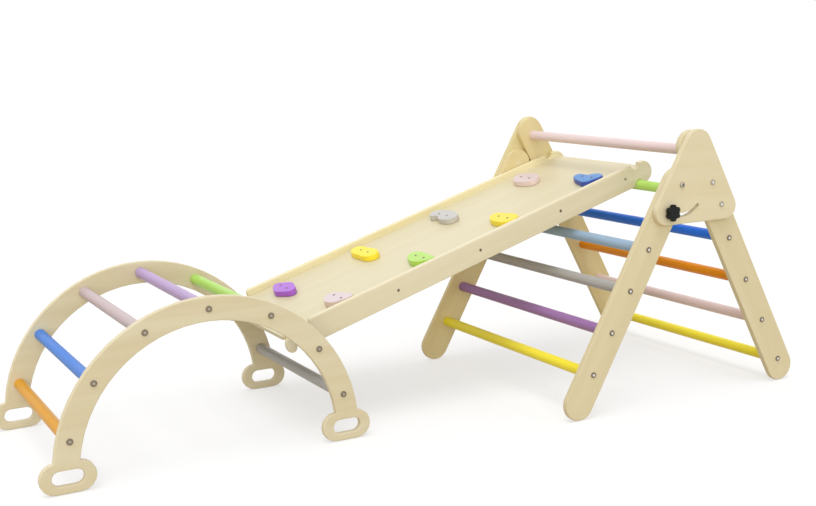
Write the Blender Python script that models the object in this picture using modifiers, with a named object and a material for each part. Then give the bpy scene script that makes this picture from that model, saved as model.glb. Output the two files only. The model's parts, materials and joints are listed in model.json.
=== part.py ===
# Toddler climbing set: an arch, a ramp with climbing holds and a folding triangle of two ladders.
# Lengths are in metres. X runs from the arch to the triangle, Y from near to far, Z up.

import math

import bmesh
import bpy
from mathutils import Matrix, Vector

# Boards, dowels and clearances
board_thickness = 0.015
board_edge_round = 0.0025
seat_gap = 0.0003
weld_distance = 0.00001
rung_radius = 0.0125
rung_end_round = 0.0015
rung_steps = 24
edge_round_steps = 1
smooth_angle = math.radians(50.0)
quarter_turn = math.pi / 2.0
half_turn = math.pi
full_turn = 2.0 * math.pi

# Triangle: ladder B stands still, ladder A folds towards it on the pivot bolts
leg_half_width = 0.0375
ladder_inner_y = 0.312
leg_end_steps = 12
ladder_b_lean = math.radians(28.3)
ladder_b_rung_pitch = 0.120
ladder_b_rung_count = 6
ladder_b_first_rung = 0.0205
ladder_b_past_top_rung = 0.0115
ladder_a_lean = math.radians(29.7)
ladder_a_rung_count = 4
ladder_a_first_rung = 0.0724
ladder_a_top_rung_below_ramp_rung = 0.110
pivot_below_b_top = 0.054
fold_clearance = 0.0015

# Apex plates, one on each outer side of the triangle, with a curved slot for the knob's stud
plate_left_reach = 0.038
plate_right_reach = 0.045
plate_below_slot = 0.016
plate_top_radius = 0.038
plate_corner_radius = 0.030
plate_corner_steps = 8
slot_half_width = 0.0045
slot_before_knob = math.radians(3.0)
slot_sweep = math.radians(77.0)
slot_steps = 12
slot_end_steps = 5

# Pivot bolts and star knobs
bolt_shank_radius = 0.004
bolt_hole_steps = 12
bolt_head_radius = 0.0065
bolt_head_height = 0.004
bolt_head_round = 0.0012
bolt_end_inset = 0.0005
bolt_steps = 20
knob_below_pivot = 0.0685
knob_stud_radius = 0.0038
knob_collar_radius = 0.010
knob_collar_height = 0.005
knob_radius = 0.019
knob_height = 0.012
knob_edge_round = 0.0025
knob_steps = 36
knob_lobes = 6
knob_scallop_radius = 0.006
knob_scallop_past_rim = 0.0005
knob_scallop_steps = 16
cutter_overrun = 0.004

# Arch: two side boards joined by rungs on a circle
arch_centre_height = 0.0265
arch_rung_circle = 0.2985
arch_band_half_width = 0.0255
arch_steps = 30
arch_rung_angles = [math.radians(degrees) for degrees in (-75.2, -52.2, -26.1, 0.0, 26.1, 52.2, 75.2)]
arch_ramp_rung = 5
arch_to_ladder_b_foot = 1.4006
foot_loop_inside_circle = 0.003
foot_loop_half_length = 0.0555
foot_loop_radius = 0.0315
foot_slot_end_wall = 0.024
foot_slot_side_wall = 0.0165
foot_steps = 8

# Ramp: two rails with hooked ends and a panel between them
ramp_width = 0.381
ramp_to_far_leg = 0.003
ramp_to_far_arch_side = 0.0016
ramp_to_near_arch_side = 0.0734
ramp_rung = 4
rail_half_height = 0.028
low_notch_along = -0.030
high_notch_above_edge = 0.0005
rail_tail_length = 0.066
rail_tail_toe = 0.022
rail_tail_top = 0.012
rail_low_corner_round = 0.008
rail_head_past_notch = 0.0063
rail_head_steps = 10
notch_steps = 10
panel_underside = 0.0033
panel_thickness = 0.009
panel_low_overhang = 0.065
panel_past_notch = 0.0295
panel_edge_round = 0.001

# Climbing holds in two rows, at shares of the distance between the ramp's notches
hold_half_length = 0.030
hold_half_width = 0.055
hold_thickness = 0.014
hold_edge_round = 0.002
hold_curve_steps = 3
far_hold_from_rail = 0.084
near_hold_from_rail = 0.051
far_hold_shares = (0.0671, 0.3037, 0.5544, 0.8175)
near_hold_shares = (0.1061, 0.3391, 0.5918, 0.8643)

# Outlines of the climbing holds, as shares of a hold's half length and half width
oval_shares = (
    (-0.37, 0.75), (-0.06, 0.87), (0.46, 0.53), (0.82, 0.12),
    (0.68, -0.31), (0.33, -0.80), (-0.09, -0.93), (-0.59, -0.53),
    (-0.91, -0.11), (-0.76, 0.29),
)
leaf_shares = (
    (-0.76, 0.37), (-0.26, 0.60), (0.22, 0.55), (0.50, 0.23),
    (0.69, -0.19), (0.85, -0.53), (0.62, -0.78), (0.12, -0.79),
    (-0.49, -0.65), (-0.92, -0.44), (-1.05, -0.06),
)
cloud_shares = (
    (-0.49, 0.85), (-0.02, 0.91), (0.35, 0.65), (0.39, 0.13),
    (0.53, -0.38), (0.39, -0.92), (-0.08, -1.20), (-0.59, -1.14),
    (-0.92, -0.85), (-0.93, -0.27), (-0.95, 0.29),
)
half_round_shares = (
    (-0.17, 0.82), (0.33, 0.87), (0.66, 0.59), (0.67, 0.09),
    (0.61, -0.41), (0.46, -0.81), (0.03, -0.83), (-0.43, -0.65),
    (-0.75, -0.37), (-0.85, -0.07), (-0.68, 0.37),
)
notched_shares = (
    (-0.85, 0.69), (-0.24, 0.92), (0.24, 0.70), (0.54, 0.12),
    (0.42, -0.60), (0.12, -1.02), (-0.38, -1.18), (-0.92, -1.05),
    (-1.10, -0.76), (-1.10, -0.30), (-0.74, 0.15), (-1.02, 0.40),
)
bean_shares = (
    (-0.59, 0.64), (0.01, 0.94), (0.51, 0.84), (0.63, 0.41),
    (0.84, -0.07), (0.69, -0.64), (0.22, -0.82), (-0.27, -0.85),
    (-0.74, -0.66), (-0.88, -0.19), (-0.85, 0.27),
)
wave_shares = (
    (-0.87, 0.26), (-0.30, 0.60), (0.31, 0.69), (0.64, 0.29),
    (0.88, -0.11), (0.72, -0.66), (0.16, -1.00), (-0.46, -1.09),
    (-0.88, -0.83), (-1.12, -0.45), (-1.14, -0.09),
)
wing_shares = (
    (-0.15, 0.95), (0.38, 0.97), (0.52, 0.69), (0.49, 0.31),
    (0.80, 0.12), (0.99, -0.21), (0.64, -0.63), (0.22, -0.66),
    (-0.28, -0.58), (-0.71, -0.52), (-0.95, -0.26), (-0.80, 0.17),
    (-0.55, 0.60),
)

# Sizes and places that follow from the ones above
pivot_beside_b = 2.0 * leg_half_width + fold_clearance
ladder_b_top_rung = ladder_b_first_rung + ladder_b_rung_pitch * (ladder_b_rung_count - 1)
ladder_b_top_centre = ladder_b_top_rung + ladder_b_past_top_rung
pivot_along_b = ladder_b_top_centre - pivot_below_b_top
plate_drop = knob_below_pivot + slot_half_width + plate_below_slot
plate_inner_y = ladder_inner_y + board_thickness + seat_gap
plate_outer_y = plate_inner_y + board_thickness
ramp_far_y = ladder_inner_y - ramp_to_far_leg
ramp_near_y = ramp_far_y - ramp_width
arch_far_y = ramp_far_y + ramp_to_far_arch_side + board_thickness
arch_near_y = ramp_near_y - ramp_to_near_arch_side - board_thickness
arch_outer_radius = arch_rung_circle + arch_band_half_width
arch_inner_radius = arch_rung_circle - arch_band_half_width
foot_loop_centre_x = arch_rung_circle - foot_loop_inside_circle
notch_radius = rung_radius + seat_gap
low_notch_drop = notch_radius - panel_underside
high_notch_drop = rail_half_height - high_notch_above_edge

# Colours, roughness and metalness
wood_pale = (0.78, 0.66, 0.44, 1.0)
wood_panel = (0.82, 0.72, 0.52, 1.0)
yellow_paint = (0.86, 0.66, 0.08, 1.0)
pink_paint = (0.82, 0.60, 0.58, 1.0)
orange_paint = (0.85, 0.30, 0.06, 1.0)
blue_paint = (0.05, 0.20, 0.65, 1.0)
light_blue_paint = (0.35, 0.52, 0.66, 1.0)
sky_paint = (0.16, 0.38, 0.85, 1.0)
green_paint = (0.40, 0.72, 0.14, 1.0)
purple_paint = (0.42, 0.16, 0.66, 1.0)
lilac_paint = (0.72, 0.55, 0.76, 1.0)
grey_paint = (0.32, 0.30, 0.27, 1.0)
white_grey = (0.68, 0.68, 0.70, 1.0)
pale_pink = (0.84, 0.72, 0.74, 1.0)
steel = (0.60, 0.60, 0.62, 1.0)
black_plastic = (0.02, 0.02, 0.025, 1.0)
wood_roughness = 0.5
paint_roughness = 0.4
hold_roughness = 0.35
steel_roughness = 0.3
plastic_roughness = 0.4


def clear_scene():
    for found in list(bpy.data.objects):
        bpy.data.objects.remove(found, do_unlink=True)


def make_collection(name):
    collection = bpy.data.collections.new(name)
    bpy.context.scene.collection.children.link(collection)
    return collection


def make_material(name, colour, roughness, metallic=0.0):
    material = bpy.data.materials.new(name)
    material.use_nodes = True
    shader = material.node_tree.nodes["Principled BSDF"]
    shader.inputs["Base Color"].default_value = colour
    shader.inputs["Roughness"].default_value = roughness
    shader.inputs["Metallic"].default_value = metallic
    material.diffuse_color = colour
    return material


def finished(source, name, material, collection):
    """Replaces a working object by one closed mesh object of the given name, in the same place."""
    bpy.context.view_layer.update()
    graph = bpy.context.evaluated_depsgraph_get()
    mesh = bpy.data.meshes.new_from_object(source.evaluated_get(graph))
    work = bmesh.new()
    work.from_mesh(mesh)
    bmesh.ops.remove_doubles(work, verts=work.verts, dist=weld_distance)
    bmesh.ops.recalc_face_normals(work, faces=work.faces)
    work.to_mesh(mesh)
    work.free()
    mesh.polygons.foreach_set("use_smooth", [True] * len(mesh.polygons))
    mesh.set_sharp_from_angle(angle=smooth_angle)
    mesh.materials.clear()
    mesh.materials.append(material)
    mesh.name = name
    result = bpy.data.objects.new(name, mesh)
    result.matrix_world = source.matrix_world.copy()
    bpy.data.objects.remove(source, do_unlink=True)
    collection.objects.link(result)
    return result


def arc(centre_x, centre_y, radius, start, end, steps):
    """Points along an arc, both ends included."""
    points = []
    for index in range(steps + 1):
        angle = start + (end - start) * index / steps
        points.append((centre_x + radius * math.cos(angle), centre_y + radius * math.sin(angle)))
    return points


def circle(centre_x, centre_y, radius, steps):
    return arc(centre_x, centre_y, radius, 0.0, full_turn, steps)[:-1]


def crossing(point, direction, other_point, other_direction):
    """Where two lines in a plane meet."""
    spread = direction[0] * other_direction[1] - direction[1] * other_direction[0]
    apart_x = other_point[0] - point[0]
    apart_y = other_point[1] - point[1]
    travel = (apart_x * other_direction[1] - apart_y * other_direction[0]) / spread
    return (point[0] + travel * direction[0], point[1] + travel * direction[1])


def add_loop(curve, points):
    spline = curve.splines.new("POLY")
    spline.points.add(len(points) - len(spline.points))
    for spot, place in zip(spline.points, points):
        spot.co = (place[0], place[1], 0.0, 1.0)
    spline.use_cyclic_u = True


def board(name, loops, location, rotation, material, collection):
    """A flat board with rounded edges. The first loop is its outline and the others are holes."""
    curve = bpy.data.curves.new(name + "_outline", "CURVE")
    curve.dimensions = "2D"
    curve.fill_mode = "BOTH"
    curve.extrude = board_thickness / 2.0 - board_edge_round
    curve.bevel_depth = board_edge_round
    curve.bevel_resolution = edge_round_steps
    curve.offset = -board_edge_round
    for loop in loops:
        add_loop(curve, loop)
    source = bpy.data.objects.new(name + "_source", curve)
    source.location = location
    source.rotation_euler = rotation
    collection.objects.link(source)
    return finished(source, name, material, collection)


def cut_away(piece, cutter):
    cutter.hide_render = True
    cutter.display_type = "WIRE"
    cut = piece.modifiers.new("cut", "BOOLEAN")
    cut.operation = "DIFFERENCE"
    cut.solver = "EXACT"
    cut.object = cutter


def drilled_board(name, outline, holes, location, rotation, material, collection, cutters):
    """A board with rounded edges and straight holes through it."""
    blank = board(name + "_blank", [outline], location, rotation, material, collection)
    curve = bpy.data.curves.new(name + "_holes", "CURVE")
    curve.dimensions = "2D"
    curve.fill_mode = "BOTH"
    curve.extrude = board_thickness / 2.0 + cutter_overrun
    for loop in holes:
        add_loop(curve, loop)
    source = bpy.data.objects.new(name + "_hole_source", curve)
    source.location = location
    source.rotation_euler = rotation
    cutters.objects.link(source)
    cut_away(blank, finished(source, name + "_cutter", material, cutters))
    return finished(blank, name, material, collection)


def lathe(name, profile, steps, location, rotation, material, collection):
    """A round solid from a profile that runs from top to bottom beside the local Z axis."""
    mesh = bpy.data.meshes.new(name + "_profile")
    places = [(radius, 0.0, height) for radius, height in profile]
    mesh.from_pydata(places, [(index, index + 1) for index in range(len(places) - 1)], [])
    source = bpy.data.objects.new(name + "_source", mesh)
    source.location = location
    source.rotation_euler = rotation
    collection.objects.link(source)
    screw = source.modifiers.new("turned", "SCREW")
    screw.axis = "Z"
    screw.angle = full_turn
    screw.steps = steps
    screw.render_steps = steps
    screw.use_merge_vertices = True
    screw.merge_threshold = weld_distance
    return finished(source, name, material, collection)


def dowel(name, length, location, material, collection):
    """A round rung along Y with softened ends."""
    half = length / 2.0
    profile = [
        (0.0, half),
        (rung_radius - rung_end_round, half),
        (rung_radius, half - rung_end_round),
        (rung_radius, rung_end_round - half),
        (rung_radius - rung_end_round, -half),
        (0.0, -half),
    ]
    return lathe(name, profile, rung_steps, location, (quarter_turn, 0.0, 0.0), material, collection)


def pivot_at(name, location, collection):
    """An empty on a joint axis that carries the pieces turning or sliding with it."""
    empty = bpy.data.objects.new(name, None)
    empty.location = location
    collection.objects.link(empty)
    bpy.context.view_layer.update()
    return empty


def carry(empty, pieces):
    for piece in pieces:
        piece.parent = empty
        piece.matrix_parent_inverse = empty.matrix_world.inverted()


def along_line(start, lean_direction, distance):
    return (start[0] + lean_direction[0] * distance, start[1] + lean_direction[1] * distance)


def rung_places(foot, up, first, pitch, count):
    """The axes of a ladder's rungs in the X-Z plane, from its foot upwards."""
    return [along_line(foot, up, first + pitch * index) for index in range(count)]


def layout():
    """Places in the X-Z plane that more than one piece needs."""
    spots = {}
    left_end = -(foot_loop_centre_x + foot_loop_half_length)
    right_end = arch_to_ladder_b_foot + leg_half_width
    spots["arch_x"] = -(left_end + right_end) / 2.0
    up_b = (-math.sin(ladder_b_lean), math.cos(ladder_b_lean))
    beside_b = (-math.cos(ladder_b_lean), -math.sin(ladder_b_lean))
    foot_b = (spots["arch_x"] + arch_to_ladder_b_foot, leg_half_width)
    pivot = along_line(along_line(foot_b, up_b, pivot_along_b), beside_b, pivot_beside_b)
    up_a = (math.sin(ladder_a_lean), math.cos(ladder_a_lean))
    foot_to_pivot = (pivot[1] - leg_half_width) / math.cos(ladder_a_lean)
    foot_a = along_line(pivot, up_a, -foot_to_pivot)
    spots.update(up_b=up_b, foot_b=foot_b, pivot=pivot, up_a=up_a, foot_a=foot_a)
    spots["foot_to_pivot"] = foot_to_pivot
    spots["knob"] = along_line(pivot, up_a, -knob_below_pivot)
    spots["rungs_b"] = rung_places(
        foot_b, up_b, ladder_b_first_rung, ladder_b_rung_pitch, ladder_b_rung_count
    )
    top_rung_height = spots["rungs_b"][ramp_rung][1] - ladder_a_top_rung_below_ramp_rung
    top_rung_a = (top_rung_height - foot_a[1]) / math.cos(ladder_a_lean)
    pitch_a = (top_rung_a - ladder_a_first_rung) / (ladder_a_rung_count - 1)
    spots["rungs_a"] = rung_places(foot_a, up_a, ladder_a_first_rung, pitch_a, ladder_a_rung_count)
    spots["arch_rungs"] = [
        (
            spots["arch_x"] + arch_rung_circle * math.sin(angle),
            arch_centre_height + arch_rung_circle * math.cos(angle),
        )
        for angle in arch_rung_angles
    ]
    low = spots["arch_rungs"][arch_ramp_rung]
    high = spots["rungs_b"][ramp_rung]
    reach = math.hypot(high[0] - low[0], high[1] - low[1])
    step_down = high_notch_drop - low_notch_drop
    spots["notch_span"] = math.sqrt(reach * reach - step_down * step_down)
    slope = math.atan2(high[1] - low[1], high[0] - low[0]) + math.asin(step_down / reach)
    along = (math.cos(slope), math.sin(slope))
    above = (-math.sin(slope), math.cos(slope))
    spots["ramp_slope"] = slope
    spots["ramp_along"] = along
    spots["ramp_above"] = above
    spots["ramp_start"] = along_line(along_line(low, above, low_notch_drop), along, -low_notch_along)
    return spots


def leg_outline(length):
    """A long board with round ends, drawn upright. The length is between the ends' centres."""
    foot = arc(0.0, 0.0, leg_half_width, half_turn, full_turn, leg_end_steps)
    head = arc(0.0, length, leg_half_width, 0.0, half_turn, leg_end_steps)
    return foot + head


def left_of_a(up_a, corner_radius):
    """A point on the line that the plate's left corners of this radius are centred on."""
    inset = plate_left_reach - corner_radius
    return (-up_a[1] * inset, up_a[0] * inset)


def right_of_b(up_b, corner_radius):
    """A point on the line that the plate's right corners of this radius are centred on."""
    reach = pivot_beside_b + plate_right_reach - corner_radius
    return (up_b[1] * reach, -up_b[0] * reach)


def plate_outline(spots):
    """A rounded triangle, drawn about the pivot: its sides follow the two ladders."""
    up_a = spots["up_a"]
    up_b = spots["up_b"]
    low_point = (0.0, plate_corner_radius - plate_drop)
    level = (1.0, 0.0)
    top = crossing(left_of_a(up_a, plate_top_radius), up_a, right_of_b(up_b, plate_top_radius), up_b)
    left = crossing(left_of_a(up_a, plate_corner_radius), up_a, low_point, level)
    right = crossing(right_of_b(up_b, plate_corner_radius), up_b, low_point, level)
    right_normal = ladder_b_lean
    left_normal = half_turn - ladder_a_lean
    low_normal = half_turn + quarter_turn
    points = arc(*top, plate_top_radius, right_normal, left_normal, plate_corner_steps)
    points += arc(*left, plate_corner_radius, left_normal, low_normal, plate_corner_steps)
    points += arc(*right, plate_corner_radius, low_normal, right_normal + full_turn, plate_corner_steps)
    return points


def slot_outline():
    """The curved slot that the star knob's stud runs in, drawn about the pivot."""
    start = -quarter_turn - ladder_a_lean - slot_before_knob
    end = start + slot_sweep
    outer = arc(0.0, 0.0, knob_below_pivot + slot_half_width, start, end, slot_steps)
    inner = arc(0.0, 0.0, knob_below_pivot - slot_half_width, end, start, slot_steps)
    end_centre = (knob_below_pivot * math.cos(end), knob_below_pivot * math.sin(end))
    start_centre = (knob_below_pivot * math.cos(start), knob_below_pivot * math.sin(start))
    far_cap = arc(*end_centre, slot_half_width, end, end + half_turn, slot_end_steps)
    near_cap = arc(*start_centre, slot_half_width, start + half_turn, start + full_turn, slot_end_steps)
    return outer + far_cap[1:-1] + inner + near_cap[1:-1]


def leg_holes(foot_to_pivot):
    pivot_hole = circle(0.0, foot_to_pivot, bolt_shank_radius + seat_gap, bolt_hole_steps)
    knob_height_on_leg = foot_to_pivot - knob_below_pivot
    knob_hole = circle(0.0, knob_height_on_leg, knob_stud_radius + seat_gap, bolt_hole_steps)
    return [pivot_hole, knob_hole]


def make_rungs(stem, places, middle_y, length, colours, materials, collection):
    """A row of rungs along Y, one at each place in the X-Z plane."""
    rungs = []
    for index, (place, colour) in enumerate(zip(places, colours)):
        name = "%s_%d" % (stem, index + 1)
        spot = (place[0], middle_y, place[1])
        rungs.append(dowel(name, length, spot, materials[colour], collection))
    return rungs


def make_ladder_b(spots, materials, collection):
    leg_y = ladder_inner_y + board_thickness / 2.0
    turn = (quarter_turn, -ladder_b_lean, 0.0)
    foot = spots["foot_b"]
    loops = [leg_outline(ladder_b_top_centre)]
    for side, name in ((-1.0, "leg_b_near"), (1.0, "leg_b_far")):
        place = (foot[0], side * leg_y, foot[1])
        board(name, loops, place, turn, materials["leg"], collection)
    colours = ("yellow", "pink", "orange", "blue", "green", "pink")
    length = 2.0 * (ladder_inner_y - seat_gap)
    make_rungs("rung_b", spots["rungs_b"], 0.0, length, colours, materials, collection)


def make_ladder_a(spots, materials, collection, cutters):
    leg_y = ladder_inner_y + board_thickness / 2.0
    turn = (quarter_turn, ladder_a_lean, 0.0)
    foot = spots["foot_a"]
    foot_to_pivot = spots["foot_to_pivot"]
    outline = leg_outline(foot_to_pivot)
    holes = leg_holes(foot_to_pivot)
    pieces = []
    for side, name in ((-1.0, "leg_a_near"), (1.0, "leg_a_far")):
        place = (foot[0], side * leg_y, foot[1])
        leg = drilled_board(name, outline, holes, place, turn, materials["leg"], collection, cutters)
        pieces.append(leg)
    colours = ("yellow", "purple", "grey", "light_blue")
    length = 2.0 * (ladder_inner_y - seat_gap)
    pieces += make_rungs("rung_a", spots["rungs_a"], 0.0, length, colours, materials, collection)
    pivot = spots["pivot"]
    carry(pivot_at("ladder_a_axis", (pivot[0], 0.0, pivot[1]), collection), pieces)


def make_plates(spots, materials, collection, cutters):
    plate_y = (plate_inner_y + plate_outer_y) / 2.0
    pivot = spots["pivot"]
    bolt_hole = circle(0.0, 0.0, bolt_shank_radius + seat_gap, bolt_hole_steps)
    outline = plate_outline(spots)
    holes = [bolt_hole, slot_outline()]
    turn = (quarter_turn, 0.0, 0.0)
    for side, name in ((-1.0, "apex_plate_near"), (1.0, "apex_plate_far")):
        place = (pivot[0], side * plate_y, pivot[1])
        drilled_board(name, outline, holes, place, turn, materials["plate"], collection, cutters)


def make_pivot_bolts(spots, materials, collection):
    """Bolts whose heads point outwards. The profile's Z axis runs outwards from the head's seat."""
    seat_y = plate_outer_y + seat_gap
    depth = seat_y - ladder_inner_y - bolt_end_inset
    profile = [
        (0.0, bolt_head_height),
        (bolt_head_radius - bolt_head_round, bolt_head_height),
        (bolt_head_radius, bolt_head_height - bolt_head_round),
        (bolt_head_radius, 0.0),
        (bolt_shank_radius, 0.0),
        (bolt_shank_radius, -depth),
        (0.0, -depth),
    ]
    pivot = spots["pivot"]
    for side, name in ((-1.0, "pivot_bolt_near"), (1.0, "pivot_bolt_far")):
        turn = (-side * quarter_turn, 0.0, 0.0)
        place = (pivot[0], side * seat_y, pivot[1])
        lathe(name, profile, bolt_steps, place, turn, materials["steel"], collection)


def make_scallop_cutter(collection):
    """Six round cutters in a ring that leave the knob's lobes between them."""
    work = bmesh.new()
    length = knob_height + 2.0 * cutter_overrun
    middle = knob_collar_height + knob_height / 2.0
    reach = knob_radius + knob_scallop_past_rim
    for index in range(knob_lobes):
        angle = full_turn * index / knob_lobes
        place = Vector((reach * math.cos(angle), reach * math.sin(angle), middle))
        bmesh.ops.create_cone(
            work,
            cap_ends=True,
            segments=knob_scallop_steps,
            radius1=knob_scallop_radius,
            radius2=knob_scallop_radius,
            depth=length,
            matrix=Matrix.Translation(place),
        )
    mesh = bpy.data.meshes.new("scallops")
    work.to_mesh(mesh)
    work.free()
    cutter = bpy.data.objects.new("scallop_cutter", mesh)
    collection.objects.link(cutter)
    return cutter


def make_knobs(spots, materials, collection, cutters):
    seat_y = plate_outer_y + seat_gap
    depth = seat_y - ladder_inner_y - bolt_end_inset
    top = knob_collar_height + knob_height
    profile = [
        (0.0, top),
        (knob_radius - 2.0 * knob_edge_round, top),
        (knob_radius - knob_edge_round / 2.0, top - knob_edge_round / 2.0),
        (knob_radius, top - knob_edge_round),
        (knob_radius, knob_collar_height + knob_edge_round),
        (knob_radius - knob_edge_round, knob_collar_height),
        (knob_collar_radius, knob_collar_height),
        (knob_collar_radius, 0.0),
        (knob_stud_radius, 0.0),
        (knob_stud_radius, -depth),
        (0.0, -depth),
    ]
    spot = spots["knob"]
    for side, name in ((-1.0, "star_knob_near"), (1.0, "star_knob_far")):
        turn = (-side * quarter_turn, 0.0, 0.0)
        place = (spot[0], side * seat_y, spot[1])
        knob = lathe(name + "_blank", profile, knob_steps, place, turn, materials["knob"], collection)
        cutter = make_scallop_cutter(cutters)
        cutter.name = name + "_cutter"
        cutter.location = place
        cutter.rotation_euler = turn
        cut_away(knob, cutter)
        knob = finished(knob, name, materials["knob"], collection)
        carry(pivot_at(name + "_axis", place, collection), [knob])


def foot_loop_outline(side):
    """A foot loop from where the arch's outer edge meets it, round the bottom to the inner edge."""
    half_straight = foot_loop_half_length - foot_loop_radius
    outer_centre = foot_loop_centre_x + half_straight
    inner_centre = foot_loop_centre_x - half_straight
    outer_angle = arch_meets_loop(arch_outer_radius, outer_centre)
    inner_angle = arch_meets_loop(arch_inner_radius, inner_centre)
    height = foot_loop_radius
    points = arc(outer_centre, height, foot_loop_radius, outer_angle, -quarter_turn, foot_steps)
    points += arc(
        inner_centre, height, foot_loop_radius, -quarter_turn, inner_angle - full_turn, foot_steps
    )
    return [(side * place[0], place[1]) for place in points]


def arch_meets_loop(radius, loop_centre):
    """The angle on a foot loop's end circle where it meets a circle of the arch."""
    drop = arch_centre_height - foot_loop_radius
    apart = math.hypot(loop_centre, drop)
    squares = apart * apart + foot_loop_radius * foot_loop_radius - radius * radius
    towards_centre = math.atan2(drop, -loop_centre) % full_turn
    return towards_centre - math.acos(squares / (2.0 * apart * foot_loop_radius))


def arch_arc(radius, loop_centre):
    """An arc of the arch from the right foot loop to the left one, without its end points."""
    angle = arch_meets_loop(radius, loop_centre)
    end_x = loop_centre + foot_loop_radius * math.cos(angle)
    end_y = foot_loop_radius + foot_loop_radius * math.sin(angle)
    start = math.atan2(end_y - arch_centre_height, end_x)
    return arc(0.0, arch_centre_height, radius, start, half_turn - start, arch_steps)[1:-1]


def arch_side_loops():
    half_straight = foot_loop_half_length - foot_loop_radius
    outer = arch_arc(arch_outer_radius, foot_loop_centre_x + half_straight)
    inner = arch_arc(arch_inner_radius, foot_loop_centre_x - half_straight)
    outline = outer + foot_loop_outline(-1.0) + inner[::-1] + foot_loop_outline(1.0)[::-1]
    loops = [outline]
    height = foot_loop_radius
    slot_radius = foot_loop_radius - foot_slot_side_wall
    slot_straight = foot_loop_half_length - foot_slot_end_wall - slot_radius
    three_quarters = quarter_turn + half_turn
    for side in (-1.0, 1.0):
        middle = side * foot_loop_centre_x
        right_end = arc(
            middle + slot_straight, height, slot_radius, -quarter_turn, quarter_turn, foot_steps
        )
        left_end = arc(
            middle - slot_straight, height, slot_radius, quarter_turn, three_quarters, foot_steps
        )
        loops.append(right_end + left_end)
    return loops


def make_arch(spots, materials, collection):
    arch_x = spots["arch_x"]
    turn = (quarter_turn, 0.0, 0.0)
    near_y = arch_near_y + board_thickness / 2.0
    far_y = arch_far_y - board_thickness / 2.0
    loops = arch_side_loops()
    pieces = []
    for place_y, name in ((near_y, "arch_side_near"), (far_y, "arch_side_far")):
        place = (arch_x, place_y, 0.0)
        pieces.append(board(name, loops, place, turn, materials["arch"], collection))
    colours = ("orange", "sky", "pale_pink", "lilac", "green", "sky", "grey")
    length = arch_far_y - arch_near_y - 2.0 * (board_thickness + seat_gap)
    middle_y = (arch_near_y + arch_far_y) / 2.0
    pieces += make_rungs(
        "arch_rung", spots["arch_rungs"], middle_y, length, colours, materials, collection
    )
    carry(pivot_at("arch_axis", (arch_x, middle_y, 0.0), collection), pieces)


def rail_tail():
    """The low end of a rail, from the top of its tail round the toe to the low notch."""
    toe_round = (rail_tail_length + low_notch_along - notch_radius) / 2.0
    corner_x = rail_tail_toe - rail_tail_length
    corner_y = rail_tail_top - rail_tail_toe
    toe_x = toe_round - rail_tail_length
    toe_y = toe_round - rail_half_height
    corner = arc(corner_x, corner_y, rail_tail_toe, quarter_turn, half_turn, notch_steps // 2)
    toe = arc(toe_x, toe_y, toe_round, half_turn, full_turn, notch_steps // 2)
    return corner + toe


def rail_outline(notch_span):
    """A ramp rail, drawn along its length from the low end. Its high end is notched on both edges."""
    high_along = low_notch_along + notch_span
    low_notch = arc(low_notch_along, -low_notch_drop, notch_radius, half_turn, 0.0, notch_steps)
    high_notch = arc(high_along, -high_notch_drop, notch_radius, half_turn, 0.0, notch_steps)
    spare_notch = arc(high_along, high_notch_drop, notch_radius, 0.0, -half_turn, notch_steps)
    head_along = high_along + notch_radius + rail_head_past_notch
    head_turn = math.acos(rail_head_past_notch / rail_half_height)
    head = arc(head_along, 0.0, rail_half_height, -head_turn, head_turn, rail_head_steps)
    corner = rail_low_corner_round
    corner_y = rail_half_height - corner
    top_corner = arc(corner, corner_y, corner, quarter_turn, half_turn, notch_steps // 3)
    points = rail_tail() + low_notch
    points.append((low_notch_along + notch_radius, -rail_half_height))
    points.append((high_along - notch_radius, -rail_half_height))
    points += high_notch + head + spare_notch
    points.append((high_along - notch_radius, rail_half_height))
    points += top_corner
    points.append((0.0, rail_tail_top))
    return points


def make_ramp(spots, materials, collection):
    start = spots["ramp_start"]
    slope = spots["ramp_slope"]
    along = spots["ramp_along"]
    above = spots["ramp_above"]
    flat_turn = (0.0, -slope, 0.0)
    rail_turn = (quarter_turn, -slope, 0.0)
    near_y = ramp_near_y + board_thickness / 2.0
    far_y = ramp_far_y - board_thickness / 2.0
    loops = [rail_outline(spots["notch_span"])]
    pieces = []
    for place_y, name in ((near_y, "ramp_rail_near"), (far_y, "ramp_rail_far")):
        place = (start[0], place_y, start[1])
        pieces.append(board(name, loops, place, rail_turn, materials["rail"], collection))
    middle_y = (ramp_near_y + ramp_far_y) / 2.0
    panel_end = low_notch_along + spots["notch_span"] + panel_past_notch
    panel_length = panel_end + panel_low_overhang
    panel_middle = along_line(start, along, (panel_end - panel_low_overhang) / 2.0)
    panel_middle = along_line(panel_middle, above, panel_underside + panel_thickness / 2.0)
    panel_width = ramp_width - 2.0 * (board_thickness + seat_gap)
    size = (panel_length, panel_width, panel_thickness)
    place = (panel_middle[0], middle_y, panel_middle[1])
    pieces.append(slab("ramp_panel", size, place, flat_turn, materials["panel"], collection))
    pieces += make_holds(spots, flat_turn, materials, collection)
    high = spots["rungs_b"][ramp_rung]
    carry(pivot_at("ramp_axis", (high[0], middle_y, high[1]), collection), pieces)


def slab(name, size, location, rotation, material, collection):
    """A rectangular panel with softened edges."""
    work = bmesh.new()
    bmesh.ops.create_cube(work, size=1.0, matrix=Matrix.Diagonal((size[0], size[1], size[2], 1.0)))
    mesh = bpy.data.meshes.new(name + "_block")
    work.to_mesh(mesh)
    work.free()
    source = bpy.data.objects.new(name + "_source", mesh)
    source.location = location
    source.rotation_euler = rotation
    collection.objects.link(source)
    soften = source.modifiers.new("softened", "BEVEL")
    soften.width = panel_edge_round
    soften.segments = edge_round_steps + 1
    return finished(source, name, material, collection)


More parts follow.
